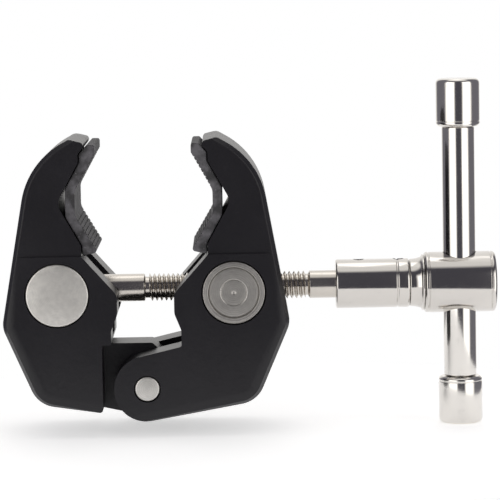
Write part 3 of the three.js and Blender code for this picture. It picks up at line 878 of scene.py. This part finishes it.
# %% Caps
cap_radius = (cap_high.x - cap_low.x) / 2
cap_length = cap_high.z - cap_low.z
stud_hole = bar_high.z - cap_low.z + 0.5
stud_bore = stud_radius + RUNNING_GAP
cap_bevel = 0.5
cap_line = cap_radius - 0.07
cap_profile = [
    (0, stud_hole),
    (stud_bore, stud_hole),
    (stud_bore, 0),
    (cap_radius - cap_bevel, 0, 0.1),
    (cap_radius, cap_bevel, 0.2),
    (cap_radius, 0.95, 0.04),
    (cap_line, 1.02),
    (cap_line, 1.14),
    (cap_radius, 1.2, 0.04),
    (cap_radius, cap_length, 1.0),
    (0, cap_length),
]
upper_cap = turned("upper_cap", cap_profile, Z, (bar_x, 0, cap_low.z))
lower_cap = turned("lower_cap", cap_profile, -Z, (bar_x, 0, lower_cap_top))
fitted(nickel_z.on(upper_cap), "tee_bar", "nickel_plate", "upper_bar_cap")
fitted(nickel_z.on(lower_cap), "tee_bar", "nickel_plate", "lower_bar_cap")

# %% [markdown]
# ## Floor, light and camera
#
# Bright metal looks like what surrounds it. A small white table below, a broad light overhead, a
# bright wall behind, two tall lights at the sides and a dark room in front give the nickel its
# bands. The sky holds all but the table as soft patches of direction. The table is kept small,
# because a wide one would fill every upright piece with one flat white. The camera itself sees a
# plain white sky.

# %% Floor
TABLE_RADIUS = 98
TABLE_GLOW = 0.5
bm = bmesh.new()
bmesh.ops.create_circle(bm, cap_ends=True, segments=96, radius=TABLE_RADIUS)
floor = placed(bm, "studio_floor")
pale = Finish("pale floor", (0.93, 0.93, 0.93), 0.9,
              Emission_Color=(1, 1, 1, 1), Emission_Strength=TABLE_GLOW)
pale.shade(Roughness=0.86 + pale.noise(300, 2) * 0.08)
pale.on(floor)
print("table radius", TABLE_RADIUS, "mm")

# %% Studio sky
# Light of each part of the sky, and the angles in degrees over which its edge fades.
ROOM = 0.09
LAMP = 0.85
TALL_LIGHT = 1.75
SIDE_WALL = 0.11
OVERHEAD_EDGE = (57, 68)
REAR_EDGE = (138, 160)
WALL_EDGE = (60, 80)
TALL_NEAR_EDGE, TALL_FAR_EDGE, TALL_TOP_EDGE = (17, 26), (62, 76), (30, 42)
DUSK = (0.84, 0.82, 1.0, 1)
WARM_WHITE = (1.0, 0.985, 0.965, 1)
DEGREES = 180 / math.pi


def studio_sky():
    world = bpy.data.worlds.new("studio sky")
    world.use_nodes = True
    sky = Nodes(world.node_tree)
    direction = sky.node("ShaderNodeTexCoord").outputs["Generated"]
    x, y, z = (sky.axis(direction, name) for name in "XYZ")
    elevation = z.function("ARCSINE") * DEGREES
    azimuth = x.sum("ARCTAN2", x, y * -1) * DEGREES
    aside = azimuth.function("ABSOLUTE")
    above = sky.between(elevation, *OVERHEAD_EDGE)
    behind = sky.between(aside, *REAR_EDGE)
    tall = sky.between(aside, *TALL_NEAR_EDGE)
    tall = tall * (1 - sky.between(aside, *TALL_FAR_EDGE)) * (1 - sky.between(elevation, *TALL_TOP_EDGE))
    lateral = sky.between(aside, *WALL_EDGE) * SIDE_WALL
    brightness = ROOM + above * LAMP + behind * LAMP + tall * TALL_LIGHT + lateral
    lit = sky.between(brightness, 0.08, 0.5)
    hue = sky.mix(lit, DUSK, WARM_WHITE)
    level = sky.node("ShaderNodeBackground", {}, {"Color": hue, "Strength": brightness})
    seen = sky.node("ShaderNodeBackground", {}, {"Color": (1, 1, 1, 1), "Strength": 1.0})
    camera_ray = sky.node("ShaderNodeLightPath").outputs["Is Camera Ray"]
    mixed = sky.node("ShaderNodeMixShader", {}, {0: camera_ray, 1: level.outputs[0], 2: seen.outputs[0]})
    sky.node("ShaderNodeOutputWorld", {}, {"Surface": mixed.outputs[0]})
    bpy.context.scene.world = world
    print("sky nodes:", len(sky.tree.nodes))


studio_sky()
bpy.context.scene.view_settings.view_transform = "Standard"

# %% Camera
DISTANCE = 600
ELEVATION = math.radians(5.6)
ROLL = math.radians(1.044)
SENSOR_WIDTH = 36
FOCAL_LENGTH = 201.096
target = Vector((-3.28, 0, 38.19))
lens = bpy.data.cameras.new("camera")
lens.sensor_width = SENSOR_WIDTH
lens.lens = FOCAL_LENGTH
lens.shift_x = 0.03
lens.clip_start = 0.01
lens.clip_end = 100
camera = bpy.data.objects.new("camera", lens)
bpy.context.scene.collection.objects.link(camera)
back = Vector((0, -math.cos(ELEVATION), math.sin(ELEVATION)))
turn = Matrix.Rotation(math.pi / 2 - ELEVATION, 4, "X") @ Matrix.Rotation(-ROLL, 4, "Z")
camera.matrix_world = Matrix.Translation((target + back * DISTANCE) * MM) @ turn
bpy.context.scene.camera = camera
print("camera", DISTANCE, "mm from", tuple(round(v, 2) for v in target))
